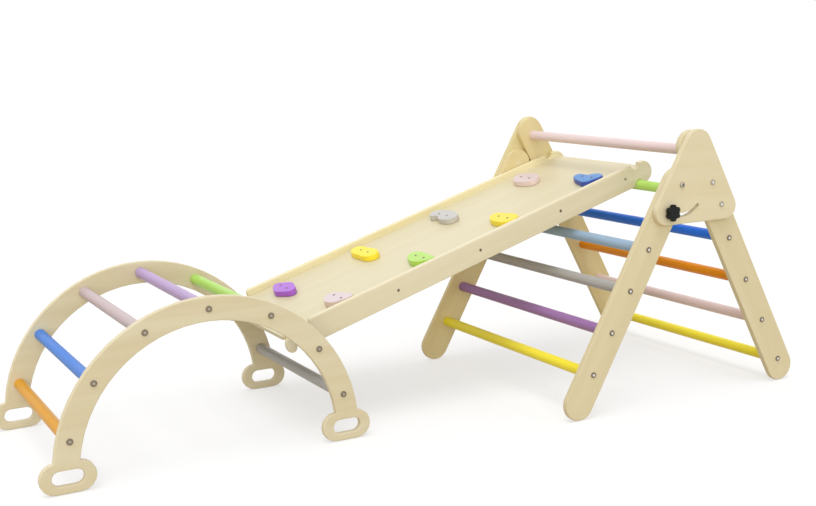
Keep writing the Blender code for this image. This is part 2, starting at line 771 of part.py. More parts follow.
def hold(name, shares, location, rotation, material, collection):
    """A climbing hold: a smooth closed outline through its share points, with rounded edges."""
    curve = bpy.data.curves.new(name + "_outline", "CURVE")
    curve.dimensions = "2D"
    curve.fill_mode = "BOTH"
    curve.resolution_u = hold_curve_steps
    curve.extrude = hold_thickness / 2.0 - hold_edge_round
    curve.bevel_depth = hold_edge_round
    curve.bevel_resolution = edge_round_steps
    curve.offset = -hold_edge_round
    spline = curve.splines.new("BEZIER")
    spline.bezier_points.add(len(shares) - len(spline.bezier_points))
    for spot, (along_share, across_share) in zip(spline.bezier_points, shares):
        spot.co = (along_share * hold_half_length, across_share * hold_half_width, 0.0)
        spot.handle_left_type = "AUTO"
        spot.handle_right_type = "AUTO"
    spline.use_cyclic_u = True
    source = bpy.data.objects.new(name + "_source", curve)
    source.location = location
    source.rotation_euler = rotation
    collection.objects.link(source)
    return finished(source, name, material, collection)


def make_holds(spots, turn, materials, collection):
    far_shapes = (
        (oval_shares, "purple_hold"),
        (cloud_shares, "yellow_hold"),
        (notched_shares, "grey_hold"),
        (wave_shares, "pink_hold"),
    )
    near_shapes = (
        (leaf_shares, "pink_hold"),
        (half_round_shares, "green_hold"),
        (bean_shares, "yellow_hold"),
        (wing_shares, "blue_hold"),
    )
    far_y = ramp_far_y - board_thickness - far_hold_from_rail
    near_y = ramp_near_y + board_thickness + near_hold_from_rail
    rows = (
        ("far", far_y, far_hold_shares, far_shapes),
        ("near", near_y, near_hold_shares, near_shapes),
    )
    seat = panel_underside + panel_thickness + seat_gap + hold_thickness / 2.0
    pieces = []
    for row_name, row_y, row_shares, shapes in rows:
        for index, (span_share, (outline_shares, colour)) in enumerate(zip(row_shares, shapes)):
            distance = span_share * spots["notch_span"]
            spot = along_line(spots["ramp_start"], spots["ramp_along"], distance)
            spot = along_line(spot, spots["ramp_above"], seat)
            place = (spot[0], row_y, spot[1])
            name = "hold_%s_%d" % (row_name, index + 1)
            pieces.append(hold(name, outline_shares, place, turn, materials[colour], collection))
    return pieces


def make_materials():
    table = {
        "leg": (wood_pale, wood_roughness, 0.0),
        "plate": (wood_pale, wood_roughness, 0.0),
        "arch": (wood_pale, wood_roughness, 0.0),
        "rail": (wood_pale, wood_roughness, 0.0),
        "panel": (wood_panel, wood_roughness, 0.0),
        "yellow": (yellow_paint, paint_roughness, 0.0),
        "pink": (pink_paint, paint_roughness, 0.0),
        "orange": (orange_paint, paint_roughness, 0.0),
        "blue": (blue_paint, paint_roughness, 0.0),
        "green": (green_paint, paint_roughness, 0.0),
        "purple": (purple_paint, paint_roughness, 0.0),
        "grey": (grey_paint, paint_roughness, 0.0),
        "light_blue": (light_blue_paint, paint_roughness, 0.0),
        "sky": (sky_paint, paint_roughness, 0.0),
        "pale_pink": (pale_pink, paint_roughness, 0.0),
        "lilac": (lilac_paint, paint_roughness, 0.0),
        "purple_hold": (purple_paint, hold_roughness, 0.0),
        "yellow_hold": (yellow_paint, hold_roughness, 0.0),
        "grey_hold": (white_grey, hold_roughness, 0.0),
        "pink_hold": (pale_pink, hold_roughness, 0.0),
        "green_hold": (green_paint, hold_roughness, 0.0),
        "blue_hold": (sky_paint, hold_roughness, 0.0),
        "steel": (steel, steel_roughness, 1.0),
        "knob": (black_plastic, plastic_roughness, 0.0),
    }
    return {name: make_material(name, *values) for name, values in table.items()}


def build():
    clear_scene()
    pieces = make_collection("climbing_set")
    cutters = make_collection("cutters")
    cutters.hide_render = True
    materials = make_materials()
    spots = layout()
    make_ladder_b(spots, materials, pieces)
    make_ladder_a(spots, materials, pieces, cutters)
    make_plates(spots, materials, pieces, cutters)
    make_pivot_bolts(spots, materials, pieces)
    make_knobs(spots, materials, pieces, cutters)
    make_arch(spots, materials, pieces)
    make_ramp(spots, materials, pieces)
    bpy.context.view_layer.update()


build()
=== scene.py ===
import json
import math

import bmesh
import bpy
from mathutils import Matrix, Vector

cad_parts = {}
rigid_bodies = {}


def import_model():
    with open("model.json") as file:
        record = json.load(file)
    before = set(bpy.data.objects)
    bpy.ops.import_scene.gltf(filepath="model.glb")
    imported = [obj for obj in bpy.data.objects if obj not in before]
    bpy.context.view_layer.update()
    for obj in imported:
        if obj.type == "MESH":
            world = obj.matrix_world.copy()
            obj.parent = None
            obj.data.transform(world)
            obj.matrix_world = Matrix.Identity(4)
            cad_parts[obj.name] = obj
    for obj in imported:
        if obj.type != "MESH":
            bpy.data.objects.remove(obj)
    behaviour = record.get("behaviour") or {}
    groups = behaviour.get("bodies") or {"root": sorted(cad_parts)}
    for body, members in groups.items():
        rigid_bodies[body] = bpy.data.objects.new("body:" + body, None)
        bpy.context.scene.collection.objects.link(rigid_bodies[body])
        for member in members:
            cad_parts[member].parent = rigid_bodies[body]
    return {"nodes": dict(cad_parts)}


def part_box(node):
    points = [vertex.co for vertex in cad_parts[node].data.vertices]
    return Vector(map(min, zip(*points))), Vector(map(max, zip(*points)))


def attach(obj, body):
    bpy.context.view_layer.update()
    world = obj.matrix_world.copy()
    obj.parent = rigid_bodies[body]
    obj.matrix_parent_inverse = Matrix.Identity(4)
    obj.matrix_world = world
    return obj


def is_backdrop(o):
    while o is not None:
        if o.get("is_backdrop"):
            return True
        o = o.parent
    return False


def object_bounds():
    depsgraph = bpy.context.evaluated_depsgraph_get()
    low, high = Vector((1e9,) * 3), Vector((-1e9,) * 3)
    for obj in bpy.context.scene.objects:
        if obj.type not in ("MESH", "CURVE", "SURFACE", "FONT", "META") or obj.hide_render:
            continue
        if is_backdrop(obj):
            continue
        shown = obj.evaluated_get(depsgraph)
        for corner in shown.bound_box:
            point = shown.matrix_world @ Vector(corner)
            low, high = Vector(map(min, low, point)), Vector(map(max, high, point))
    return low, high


FULL_TURN = 2.0 * math.pi

# Camera, fitted to the photograph: metres and radians
CAMERA_PLACE = Vector((-1.30195, -2.3808, 0.8300))
CAMERA_YAW = 0.5070
CAMERA_PITCH = -0.1808
CAMERA_ROLL = -0.0206
SENSOR_WIDTH = 36.0
CAMERA_LENS = 52.55
CAMERA_SHIFT_X = -0.0112
CAMERA_SHIFT_Y = 0.0130
CLIP_START = 0.05
CLIP_END = 100.0

# Every head and cover: the sides of its circle, how far it reaches into its board, its twist from
# one to the next, and where the rings of its rounded edge and of its socket's bevel stand
HEAD_SIDES = 24
HEAD_SINK = 0.0004
HEAD_TURN_STEP = math.radians(23.0)
ROUND_BEND = 0.3
SOCKET_BEVEL = 0.3
WITHIN_RIM = 0.98

# Round heads of the bolts at the rung ends and on the apex plates
BOLT_RADIUS = 0.0066
BOLT_HEIGHT = 0.0024
BOLT_ROUND = 0.0009
BOLT_RIM_RADIUS = 0.0034
BOLT_SOCKET_HALF_FLATS = 0.0026
BOLT_SOCKET_DEPTH = 0.0009
PLATE_BOLTS_FROM_FIRST_RUNG = (0.5135, 0.4535)
PLATE_BOLT_ASIDE = 0.004

# The socket on a pivot bolt
PIVOT_CAP_RADIUS = 0.0049
PIVOT_CAP_HEIGHT = 0.0007
PIVOT_CAP_ROUND = 0.0004

# Screws of the rails and of the holds
RAIL_SCREW_RADIUS = 0.0034
HOLD_SCREW_RADIUS = 0.0029
SCREW_HEIGHT = 0.0006
SCREW_ROUND = 0.0003
SCREW_RIM_SHARE = 0.55
SCREW_SOCKET_SHARE = 0.42
RAIL_SCREWS_FROM_TOP = (0.760, 0.531, 0.292, 0.086)
HOLD_SCREW_FROM_MIDDLE = 0.0185

# Pale covers over the bolt ends on the inner faces of ladder A
COVER_RADIUS = 0.0075
COVER_HEIGHT = 0.0009
COVER_ROUND = 0.0005

# Stage: each lamp has the direction that its light travels in, a strength and an angle
FLOOR_SIZE = 60.0
FLOOR_DROP = 0.0005
FLOOR_BOUNCE = (0.56, 0.48, 0.33, 1.0)
FLOOR_OWN_WHITE = 0.55
WORLD_STRENGTH = 0.66
LAMPS = {
    "key_from_above": (Vector((0.28, 0.20, -0.94)), 1.16, math.radians(40.0)),
    "fill_from_front": (Vector((0.45, 0.87, -0.20)), 1.04, math.radians(50.0)),
    "fill_from_behind": (Vector((-0.30, -0.93, -0.20)), 0.45, math.radians(60.0)),
}

# Shading of the CAD nodes
WELD_WITHIN = 0.00002
SMOOTH_UP_TO = math.radians(35.0)
FACE_AREA_WEIGHT = 80
LENGTHWISE_WITHIN = 0.001

# Noise patterns: how often they repeat in a metre, their detail and their roughness
FIGURE = (1.7, 3.0, 0.5)
FIBRE = (24.0, 6.0, 0.7)
FLECKS = (240.0, 2.0, 0.5)
PAINT_GRAIN = (3.0, 5.0, 0.6)
SCUFFS = (900.0, 3.0, 0.6)
SPARK = (1600.0, 2.0, 0.5)

# The band of a pattern's values over which a tone or a gloss changes
NOISE_BAND = (0.3, 0.7)
FIGURE_BAND = (0.38, 0.66)
FLECK_BAND = (0.6, 0.74)
PAINT_BAND = (0.32, 0.68)

# Wood: how many times longer its patterns are along the grain, its shades and their shares
GRAIN_STRETCH = 18.0
FLECK_STRETCH = 7.0
WHITE = (1.0, 1.0, 1.0, 1.0)
FIBRE_SHADE = (0.955, 0.945, 0.925, 1.0)
FIBRE_SHARE = 0.8
FLECK_SHADE = (0.86, 0.81, 0.72, 1.0)
FLECK_SHARE = 0.6
PLY_THICKNESS = 0.0025
PLY_SHADE = (0.90, 0.86, 0.80, 1.0)
PLY_SHARE = 0.75
PLY_BAND = (0.35, 0.65)
PLY_FACING_BAND = (0.35, 0.65)
WOOD_ROUGHNESS = 0.5
WOOD_SPECULAR = 0.35
WOOD_COAT = 0.12
WOOD_COAT_ROUGHNESS = 0.35

# Paint and plastic: the darkest and lightest shade of their colour, and their gloss
PAINT_GRAIN_STRETCH = (30.0, 2.0, 30.0)
PAINT_SHADES = (0.93, 1.02)
# The band of facing, from the sides to the top, over which a hold's painted side shade gives way to
# its paint
SIDE_SHADING_BAND = (0.35, 0.8)
RUNG_ROUGHNESS = 0.42
HOLD_ROUGHNESS = 0.36
PLASTIC_SHADES = (0.92, 1.06)
PLASTIC_ROUGHNESS = 0.42
PAINT_AND_PLASTIC_SPECULAR = 0.25
METAL_SHADES = (0.88, 1.0)

# How far roughness goes below and above its plain value
SATIN_SPREAD = (-0.06, 0.08)
PLASTIC_SPREAD = (-0.06, 0.10)

# Lighter outer edges: wear on paint and plastic, and on wood both wear and a painted edge highlight.
# Each gives the band of pointiness where it sets in, its most, and how much lighter
WOOD_WEAR_AND_EDGE_HIGHLIGHT = ((0.53, 0.62), 0.35, 1.08)
PAINT_WEAR = ((0.54, 0.66), 0.4, 1.12)
PLASTIC_WEAR = ((0.54, 0.66), 0.5, 1.5)

# Bumps: strength and height in metres
GRAIN_BUMP = (0.10, 0.0004)
SCUFF_BUMP = (0.08, 0.0001)
SPARK_BUMP = (0.15, 0.0002)

# The Mix node's sockets for colours
MIX_FACTOR, MIX_FIRST, MIX_SECOND = 0, 6, 7
MIX_RESULT = 2


def linear(red, green, blue):
    """A colour given in screen values from 0 to 255, as the shader needs it."""
    return tuple((value / 255.0) ** 2.2 for value in (red, green, blue)) + (1.0,)


# Each wood has a pale colour and a darker one for its figure
WOODS = {
    "leg": (linear(226, 215, 180), linear(221, 209, 172)),
    # The far boards' copies of the leg, plate and rail woods have a warmer, more golden tone: painted
    # warm bounce light in their shade
    "leg_painted_bounce": (linear(230, 214, 165), linear(225, 207, 155)),
    "plate": (linear(229, 219, 186), linear(225, 213, 177)),
    "plate_painted_bounce": (linear(227, 214, 164), linear(222, 207, 155)),
    "arch": (linear(228, 219, 189), linear(222, 210, 176)),
    "rail": (linear(235, 227, 200), linear(229, 219, 186)),
    "rail_painted_bounce": (linear(239, 229, 188), linear(234, 221, 173)),
    "panel": (linear(219, 210, 178), linear(214, 203, 167)),
}
PAINTS = {
    "yellow": linear(254, 235, 64),
    "pink": linear(230, 208, 207),
    "orange": linear(238, 145, 9),
    "blue": linear(44, 117, 242),
    "green": linear(196, 242, 120),
    "purple": linear(160, 118, 176),
    "grey": linear(175, 173, 170),
    "light_blue": linear(154, 181, 207),
    "sky": linear(64, 124, 213),
    "leaf": linear(172, 218, 100),
    "pale_pink": linear(196, 177, 179),
    "lilac": linear(181, 155, 198),
    "amber": linear(217, 152, 27),
}
# Each hold has its paint on its top, and a colour round its side that is painted shade and light for
# how the light from above falls on the sides
HOLD_PAINTS_AND_SIDE_SHADING = {
    "hold_far_1": (linear(171, 101, 212), linear(170, 99, 206)),
    "hold_far_2": (linear(247, 225, 16), linear(252, 226, 62)),
    "hold_far_3": (linear(191, 188, 184), linear(198, 193, 184)),
    "hold_far_4": (linear(222, 203, 203), linear(230, 208, 200)),
    "hold_near_1": (linear(218, 200, 204), linear(220, 197, 186)),
    "hold_near_2": (linear(177, 220, 95), linear(178, 220, 92)),
    "hold_near_3": (linear(244, 219, 36), linear(246, 222, 66)),
    "hold_near_4": (linear(82, 140, 207), linear(66, 82, 172)),
}
RUNG_PAINTS = {
    "rung_b_1": "yellow",
    "rung_b_2": "pink",
    "rung_b_3": "orange",
    "rung_b_4": "blue",
    "rung_b_5": "green",
    "rung_b_6": "pink",
    "rung_a_1": "yellow",
    "rung_a_2": "purple",
    "rung_a_3": "grey",
    "rung_a_4": "light_blue",
    "arch_rung_1": "amber",
    "arch_rung_2": "sky",
    "arch_rung_3": "pale_pink",
    "arch_rung_4": "lilac",
    "arch_rung_5": "leaf",
    "arch_rung_6": "sky",
    "arch_rung_7": "grey",
}
# Each metal has a colour and its lowest and highest roughness
METALS = {
    # The bright steel in the sockets is a painted highlight, the dark steel of the head skins is
    # painted shade round their rims, and the dark metal in the hold screws' sockets is painted shade
    # in the recess
    "steel": (linear(234, 234, 230), (0.30, 0.42)),
    "plate_steel": (linear(180, 172, 156), (0.30, 0.45)),
    "rim_shade_steel": (linear(136, 124, 106), (0.34, 0.50)),
    "socket_shade_metal": (linear(104, 96, 84), (0.50, 0.75)),
}
BLACK = linear(9, 10, 12)
SIDES = (("near", -1.0), ("far", 1.0))


def write_size(name, sizes):
    low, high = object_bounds()
    sizes[name] = {"low": list(low), "high": list(high)}


def shaded(colour, share):
    """The same colour, lighter or darker by a share."""
    return tuple(min(1.0, value * share) for value in colour[:3]) + (1.0,)


def set_inputs(node, **inputs):
    """Sets a node's own values. An underscore stands for a space in an input's name."""
    for key, value in inputs.items():
        node.inputs[key.replace("_", " ")].default_value = value


def add(tree, kind, **inputs):
    node = tree.nodes.new(kind)
    set_inputs(node, **inputs)
    return node


def new_material(name, colour, **inputs):
    material = bpy.data.materials.new(name)
    material.use_nodes = True
    tree = material.node_tree
    shader = tree.nodes["Principled BSDF"]
    set_inputs(shader, Base_Color=colour, **inputs)
    return material, tree, shader


def turned_upright(tree, output, turn=0.0):
    """A place or a direction on the object, turned about Y so that its board lies along an axis."""
    source = tree.nodes.new("ShaderNodeTexCoord")
    turned = add(tree, "ShaderNodeVectorRotate", Angle=turn)
    turned.rotation_type = "Y_AXIS"
    tree.links.new(source.outputs[output], turned.inputs["Vector"])
    return turned.outputs["Vector"]


def stretched(tree, vector, stretch):
    scaled = add(tree, "ShaderNodeMapping", Scale=stretch)
    tree.links.new(vector, scaled.inputs["Vector"])
    return scaled.outputs["Vector"]


def drawn_out(tree, vector, long_axis, stretch):
    """The same place scaled up across the grain, so that noise there is drawn out along it."""
    return stretched(tree, vector, tuple(1.0 if axis == long_axis else stretch for axis in "XYZ"))


def component(tree, vector, axis):
    split = tree.nodes.new("ShaderNodeSeparateXYZ")
    tree.links.new(vector, split.inputs[0])
    return split.outputs[axis]


def computed(tree, operation, value, number=0.0):
    made = tree.nodes.new("ShaderNodeMath")
    made.operation = operation
    tree.links.new(value, made.inputs[0])
    made.inputs[1].default_value = number
    return made.outputs[0]


def noise(tree, vector, pattern):
    scale, detail, rough = pattern
    made = add(tree, "ShaderNodeTexNoise", Scale=scale, Detail=detail, Roughness=rough)
    tree.links.new(vector, made.inputs["Vector"])
    return made.outputs["Fac"]


def toned(tree, value, band, start_colour, end_colour):
    """A colour that goes from the first to the second as the value crosses the band."""
    made = tree.nodes.new("ShaderNodeValToRGB")
    start, end = made.color_ramp.elements
    start.position, end.position = band
    start.color = start_colour
    end.color = end_colour
    tree.links.new(value, made.inputs["Fac"])
    return made.outputs["Color"]


def ranged(tree, value, band, results):
    """A number that goes from the first result to the second as the value crosses the band."""
    low, high = band
    to_low, to_high = results
    made = add(tree, "ShaderNodeMapRange", From_Min=low, From_Max=high, To_Min=to_low, To_Max=to_high)
    tree.links.new(value, made.inputs["Value"])
    return made.outputs["Result"]


def blended(tree, factor, first, second, blend="MIX"):
    """Mixes two colours. The factor and each colour is either fixed or another node's output."""
    made = tree.nodes.new("ShaderNodeMix")
    made.data_type = "RGBA"
    made.blend_type = blend
    for socket, value in ((MIX_FACTOR, factor), (MIX_FIRST, first), (MIX_SECOND, second)):
        if isinstance(value, (float, tuple)):
            made.inputs[socket].default_value = value
        else:
            tree.links.new(value, made.inputs[socket])
    return made.outputs[MIX_RESULT]


def lightened_edges(tree, base, colour, wear):
    """The base, with a lighter tone of the colour on sharp outer edges: wear, and on wood also a
    painted edge highlight.
    """
    band, most, lighter = wear
    geometry = tree.nodes.new("ShaderNodeNewGeometry")
    share = ranged(tree, geometry.outputs["Pointiness"], band, (0.0, most))
    return blended(tree, share, base, shaded(colour, lighter))


def give_gloss(tree, shader, pattern, roughness, spread):
    """Roughness that varies with a pattern, from below to above its plain value."""
    limits = (roughness + spread[0], roughness + spread[1])
    tree.links.new(ranged(tree, pattern, NOISE_BAND, limits), shader.inputs["Roughness"])


def give_bump(tree, shader, height, bump):
    strength, distance = bump
    made = add(tree, "ShaderNodeBump", Strength=strength, Distance=distance)
    tree.links.new(height, made.inputs["Height"])
    tree.links.new(made.outputs["Normal"], shader.inputs["Normal"])


def ply_layers(tree, place, facing, thickness_axis):
    """The shade of the plywood's layers, which show only on a board's edges.

    One wave over the thickness is a pale layer and a dark one."""
    depth = component(tree, place, thickness_axis)
    turns = computed(tree, "MULTIPLY", depth, FULL_TURN / (2.0 * PLY_THICKNESS))
    wave = ranged(tree, computed(tree, "SINE", turns), (-1.0, 1.0), (0.0, 1.0))
    layers = toned(tree, wave, PLY_BAND, PLY_SHADE, WHITE)
    on_face = computed(tree, "ABSOLUTE", component(tree, facing, thickness_axis))
    on_edge = ranged(tree, on_face, PLY_FACING_BAND, (1.0, 0.0))
    return blended(tree, on_edge, WHITE, layers)


def wood_material(name, wood, turn, long_axis, thickness_axis="Y"):
    """Pale varnished plywood with its grain along a board and its layers on the edges."""
    pale, dark = WOODS[wood]
    material, tree, shader = new_material(
        name,
        pale,
        Roughness=WOOD_ROUGHNESS,
        Coat_Weight=WOOD_COAT,
        Coat_Roughness=WOOD_COAT_ROUGHNESS,
        Specular_IOR_Level=WOOD_SPECULAR,
    )
    place = turned_upright(tree, "Object", turn)
    facing = turned_upright(tree, "Normal", turn)
    grain_place = drawn_out(tree, place, long_axis, GRAIN_STRETCH)
    figure = noise(tree, grain_place, FIGURE)
    fibre = noise(tree, grain_place, FIBRE)
    flecks = noise(tree, drawn_out(tree, place, long_axis, FLECK_STRETCH), FLECKS)
    colour = toned(tree, figure, FIGURE_BAND, dark, pale)
    fibre_tone = toned(tree, fibre, NOISE_BAND, FIBRE_SHADE, WHITE)
    colour = blended(tree, FIBRE_SHARE, colour, fibre_tone, "MULTIPLY")
    fleck_tone = toned(tree, flecks, FLECK_BAND, WHITE, FLECK_SHADE)
    colour = blended(tree, FLECK_SHARE, colour, fleck_tone, "MULTIPLY")
    layers = ply_layers(tree, place, facing, thickness_axis)
    colour = blended(tree, PLY_SHARE, colour, layers, "MULTIPLY")
    tree.links.new(lightened_edges(tree, colour, pale, WOOD_WEAR_AND_EDGE_HIGHLIGHT), shader.inputs["Base Color"])
    give_gloss(tree, shader, figure, WOOD_ROUGHNESS, SATIN_SPREAD)
    give_bump(tree, shader, fibre, GRAIN_BUMP)
    return material


def paint_material(name, colour, roughness, side_shading_colour=None, above=None):
    """Satin paint over wood: the grain shows faintly along Y and the paint is thin on sharp edges.

    A side shading colour shows on the faces that don't point in the direction above: painted shade
    for how the light from above falls on the sides."""
    material, tree, shader = new_material(
        name, colour, Roughness=roughness, Specular_IOR_Level=PAINT_AND_PLASTIC_SPECULAR
    )
    grain_place = stretched(tree, turned_upright(tree, "Object"), PAINT_GRAIN_STRETCH)
    grain = noise(tree, grain_place, PAINT_GRAIN)
    darkest, lightest = (shaded(colour, share) for share in PAINT_SHADES)
    base = toned(tree, grain, PAINT_BAND, darkest, lightest)
    # Painted shade: faces that turn away from the direction above take the side colour
    if side_shading_colour:
        upward = tree.nodes.new("ShaderNodeVectorMath")
        upward.operation = "DOT_PRODUCT"
        tree.links.new(turned_upright(tree, "Normal"), upward.inputs[0])
        upward.inputs[1].default_value = above
        unshaded_top_share = ranged(tree, upward.outputs["Value"], SIDE_SHADING_BAND, (0.0, 1.0))
        base = blended(tree, unshaded_top_share, side_shading_colour, base)
    tree.links.new(lightened_edges(tree, base, colour, PAINT_WEAR), shader.inputs["Base Color"])
    give_gloss(tree, shader, grain, roughness, SATIN_SPREAD)
    give_bump(tree, shader, grain, GRAIN_BUMP)
    return material


def metal_material(name):
    """Scuffed metal whose gloss varies in fine spots."""
    colour, (lowest, highest) = METALS[name]
    material, tree, shader = new_material(name, colour, Roughness=lowest, Metallic=1.0)
    scuffs = noise(tree, turned_upright(tree, "Object"), SCUFFS)
    darkest, lightest = (shaded(colour, share) for share in METAL_SHADES)
    tone = toned(tree, scuffs, NOISE_BAND, darkest, lightest)
    tree.links.new(tone, shader.inputs["Base Color"])
    give_gloss(tree, shader, scuffs, lowest, (0.0, highest - lowest))
    give_bump(tree, shader, scuffs, SCUFF_BUMP)
    return material


def plastic_material(name, colour):
    """Moulded plastic with a fine spark texture."""
    material, tree, shader = new_material(
        name, colour, Roughness=PLASTIC_ROUGHNESS, Specular_IOR_Level=PAINT_AND_PLASTIC_SPECULAR
    )
    spark = noise(tree, turned_upright(tree, "Object"), SPARK)
    darkest, lightest = (shaded(colour, share) for share in PLASTIC_SHADES)
    tone = toned(tree, spark, NOISE_BAND, darkest, lightest)
    tree.links.new(lightened_edges(tree, tone, colour, PLASTIC_WEAR), shader.inputs["Base Color"])
    give_gloss(tree, shader, spark, PLASTIC_ROUGHNESS, PLASTIC_SPREAD)
    give_bump(tree, shader, spark, SPARK_BUMP)
    return material


def seen_directly(tree):
    """1 where the camera, a reflection or a see-through surface looks, and 0 for lighting."""
    path = tree.nodes.new("ShaderNodeLightPath")
    total = path.outputs["Is Camera Ray"]
    for name in ("Is Glossy Ray", "Is Transmission Ray"):
        either = tree.nodes.new("ShaderNodeMath")
        either.operation = "MAXIMUM"
        tree.links.new(total, either.inputs[0])
        tree.links.new(path.outputs[name], either.inputs[1])
        total = either.outputs[0]
    return total


def floor_material():
    """White where it is looked at, partly by its own light, and a plain warm tone for the object."""
    material, tree, shader = new_material(
        "studio_floor", FLOOR_BOUNCE, Roughness=1.0, Specular_IOR_Level=0.0
    )
    white = add(tree, "ShaderNodeBsdfDiffuse", Color=WHITE)
    own_light = add(tree, "ShaderNodeEmission", Color=WHITE, Strength=1.0)
    seen = add(tree, "ShaderNodeMixShader", Fac=FLOOR_OWN_WHITE)
    tree.links.new(white.outputs[0], seen.inputs[1])
    tree.links.new(own_light.outputs[0], seen.inputs[2])
    both = tree.nodes.new("ShaderNodeMixShader")
    tree.links.new(seen_directly(tree), both.inputs[0])
    tree.links.new(shader.outputs[0], both.inputs[1])
    tree.links.new(seen.outputs[0], both.inputs[2])
    tree.links.new(both.outputs[0], tree.nodes["Material Output"].inputs["Surface"])
    return material


def dress(node, material):
    """Gives a CAD node its material and clean smooth shading, and leaves its shape as it is."""
    node.data.materials.clear()
    node.data.materials.append(material)
    node.data.polygons.foreach_set("use_smooth", [True] * len(node.data.polygons))
    weld = node.modifiers.new("weld", "WELD")
    weld.merge_threshold = WELD_WITHIN
    split = node.modifiers.new("crisp_edges", "EDGE_SPLIT")
    split.split_angle = SMOOTH_UP_TO
    weighted = node.modifiers.new("weighted_normals", "WEIGHTED_NORMAL")
    weighted.mode = "FACE_AREA"
    weighted.weight = FACE_AREA_WEIGHT
    weighted.keep_sharp = False


def ring_mesh(name, rings):
    """A closed turned solid. Each ring is (radii round the axis, height), and the ends are capped."""
    work = bmesh.new()
    loops = []
    for radii, height in rings:
        loop = []
        for index, radius in enumerate(radii):
            angle = FULL_TURN * index / len(radii)
            loop.append(work.verts.new((radius * math.cos(angle), radius * math.sin(angle), height)))
        loops.append(loop)
    for lower, upper in zip(loops, loops[1:]):
        for index in range(len(lower)):
            following = (index + 1) % len(lower)
            work.faces.new((lower[index], lower[following], upper[following], upper[index]))
    work.faces.new(loops[0][::-1])
    work.faces.new(loops[-1])
    mesh = bpy.data.meshes.new(name)
    work.to_mesh(mesh)
    work.free()
    return mesh


def hexagon_radii(half_flats):
    """How far a hexagon's outline is from its middle, at each side of a head's circle."""
    radii = []
    for index in range(HEAD_SIDES):
        angle = FULL_TURN * index / HEAD_SIDES
        off_flat = (angle + FULL_TURN / 12.0) % (FULL_TURN / 6.0) - FULL_TURN / 12.0
        radii.append(half_flats / math.cos(off_flat))
    return radii


def rounded_rings(radius, height, edge_round):
    """The outer skin of a head, from under the surface it stands on up to its top."""
    bend = edge_round * ROUND_BEND
    return [
        ([radius] * HEAD_SIDES, -HEAD_SINK),
        ([radius] * HEAD_SIDES, height - edge_round),
        ([radius - bend] * HEAD_SIDES, height - bend),
        ([radius - edge_round] * HEAD_SIDES, height),
    ]


def button_mesh(name, radius, height, edge_round, material):
    """A plain round cover with a softened edge."""
    mesh = ring_mesh(name, rounded_rings(radius, height, edge_round))
    mesh.materials.append(material)
    return mesh


def socket_head_mesh(name, outside, rim_radius, half_flats, depth, skin, inside):
    """A round head with a six-sided socket. The outside is (radius, height, edge round)."""
    height = outside[1]
    hexagon = hexagon_radii(half_flats)
    rings = rounded_rings(*outside)
    rings.append(([rim_radius] * HEAD_SIDES, height))
    rings.append((hexagon, height - depth * SOCKET_BEVEL))
    rings.append((hexagon, height - depth))
    mesh = ring_mesh(name, rings)
    mesh.materials.append(skin)
    mesh.materials.append(inside)
    # The socket's faces take the inside material, which paints a highlight or a shade there
    for face in mesh.polygons:
        reach = max(mesh.vertices[index].co.xy.length for index in face.vertices)
        face.material_index = int(reach < rim_radius * WITHIN_RIM and face.center.z > 0.0)
    return mesh


def stand_on_face(name, mesh, place, outward, body):
    """Puts a head on a surface, with its axis along the outward direction.

    Its twist follows from how many objects there are, so that neighbours differ."""
    made = bpy.data.objects.new(name, mesh)
    bpy.context.scene.collection.objects.link(made)
    turn = Vector(outward).to_track_quat("Z", "Y").to_matrix().to_4x4()
    twist = Matrix.Rotation(HEAD_TURN_STEP * len(bpy.data.objects), 4, "Z")
    made.matrix_world = Matrix.Translation(Vector(place)) @ turn @ twist
    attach(made, body)
    return made


def middle(node):
    low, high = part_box(node)
    return (low + high) / 2.0


def outer_y(node, side):
    """The outermost face of a node on the near side (-1) or the far side (1)."""
    low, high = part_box(node)
    return low.y if side < 0.0 else high.y


def inner_y(node, side):
    low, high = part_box(node)
    return high.y if side < 0.0 else low.y


def add_rung_bolts(leg_head, arch_head):
    """One bolt head on the outer face of a board at each rung end that no plate covers."""
    groups = (
        ("rung_b_", 4, "leg_b_", "triangle", leg_head),
        ("rung_a_", 4, "leg_a_", "ladder_a", leg_head),
        ("arch_rung_", 7, "arch_side_", "arch", arch_head),
    )
    for stem, count, board, body, head in groups:
        for number in range(1, count + 1):
            rung = stem + str(number)
            spot = middle(rung)
            for side_name, side in SIDES:
                place = (spot.x, outer_y(board + side_name, side), spot.z)
                name = "bolt_%s_%s" % (side_name, rung)
                stand_on_face(name, head, place, (0.0, side, 0.0), body)


def add_plate_bolts(head):
    """Two bolt heads on each apex plate, one above the other along ladder B."""
    first = middle("rung_b_1")
    along = (middle("rung_b_6") - first).normalized()
    aside = Vector((along.z, 0.0, -along.x))
    for index, distance in enumerate(PLATE_BOLTS_FROM_FIRST_RUNG):
        spot = first + along * distance + aside * PLATE_BOLT_ASIDE
        for side_name, side in SIDES:
            place = (spot.x, outer_y("apex_plate_" + side_name, side), spot.z)
            name = "plate_bolt_%d_%s" % (index + 1, side_name)
            stand_on_face(name, head, place, (0.0, side, 0.0), "triangle")


def add_pivot_details(cap, cover):
    """A socket on each pivot bolt, and pale covers over the bolt ends inside ladder A."""
    for side_name, side in SIDES:
        bolt = "pivot_bolt_" + side_name
        spot = middle(bolt)
        place = (spot.x, outer_y(bolt, side), spot.z)
        stand_on_face("pivot_cap_" + side_name, cap, place, (0.0, side, 0.0), "triangle")
        face_y = inner_y("leg_a_" + side_name, side)
        for covered in (bolt, "star_knob_" + side_name):
            spot = middle(covered)
            place = (spot.x, face_y, spot.z)
            stand_on_face("cover_" + covered, cover, place, (0.0, -side, 0.0), "ladder_a")


